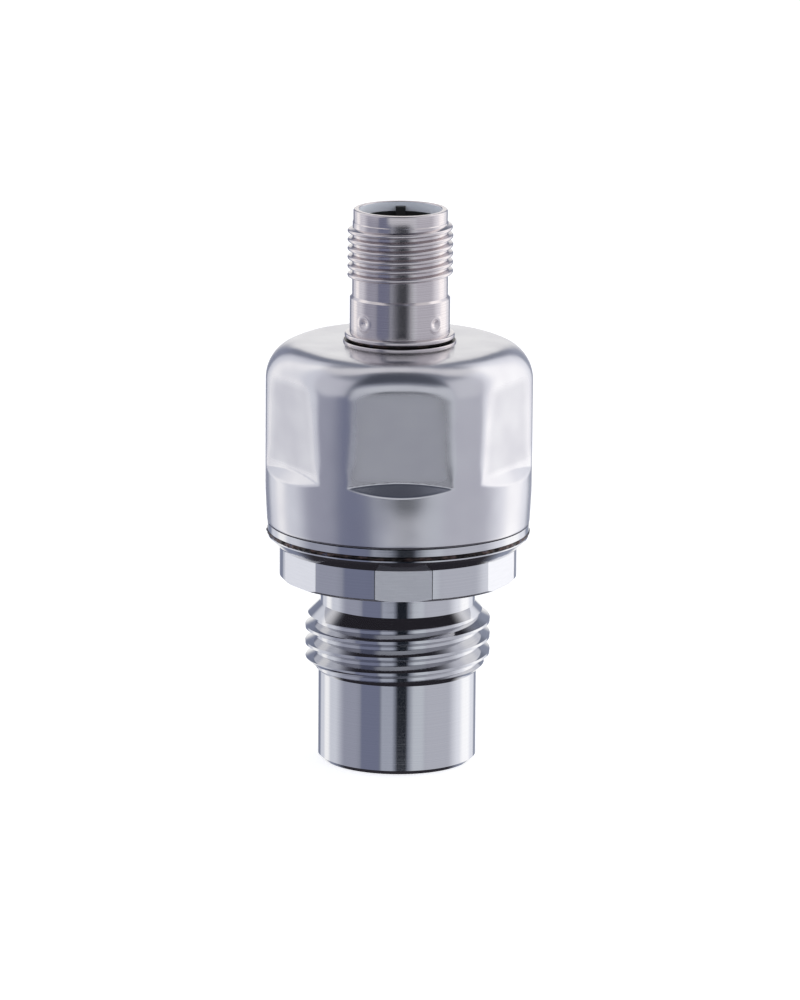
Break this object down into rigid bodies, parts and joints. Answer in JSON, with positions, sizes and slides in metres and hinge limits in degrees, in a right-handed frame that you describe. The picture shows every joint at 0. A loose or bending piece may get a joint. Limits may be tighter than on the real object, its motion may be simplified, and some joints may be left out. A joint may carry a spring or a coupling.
{
  "type": "flush pressure transmitter",
  "caption": "Stainless pressure transmitter with a flush diaphragm, threaded process connection, round can with pressed facets and a round threaded plug connector on top.",
  "frame": {"origin": "centre of the front face, which is the lowest surface", "axes": "+Z along the axis, from the front face to the plug connector; the coding key is at +Y"},
  "size_m": [0.03, 0.03, 0.0631],
  "materials": {
    "turned_steel": "fine turned",
    "can_steel": "satin polished",
    "membrane_steel": "bright foil",
    "spring_steel": "rolled",
    "gold_plated": "gold plated",
    "black_plastic": "moulded",
    "holder_plastic": "moulded",
    "rubber": "moulded",
    "circuit_board": "solder mask",
    "component": "moulded",
    "capacitor": "fired ceramic",
    "ribbon_film": "polyimide film",
    "ceramic": "fired ceramic",
    "seal_glass": "fused glass",
    "silicon": "polished"
  },
  "bodies": {
    "root": {"process_connection": "turned_steel", "base_ring": "turned_steel", "housing_can": "can_steel", "connector_sleeve": "turned_steel", "diaphragm": "membrane_steel", "sensor_header": "turned_steel", "backing_ring": "turned_steel", "fill_ball": "turned_steel", "header_pins": "gold_plated", "glass_seals": "seal_glass", "filler_disc": "ceramic", "chip_pedestal": "seal_glass", "sensor_chip": "silicon", "sensor_board": "circuit_board", "main_board": "circuit_board", "connector_board": "circuit_board", "conditioner_chip": "component", "output_chip": "component", "regulator_chip": "component", "surge_diodes": "component", "board_resistors": "component", "sensor_capacitors": "capacitor", "board_capacitors": "capacitor", "sensor_ribbon": "ribbon_film", "ground_spring": "spring_steel", "board_holder": "holder_plastic", "contact_carrier": "black_plastic", "contact_pin_1": "gold_plated", "contact_pin_2": "gold_plated", "contact_pin_3": "gold_plated", "contact_pin_4": "gold_plated", "housing_o_ring": "rubber", "carrier_o_ring": "rubber"}
  },
  "joints": []
}
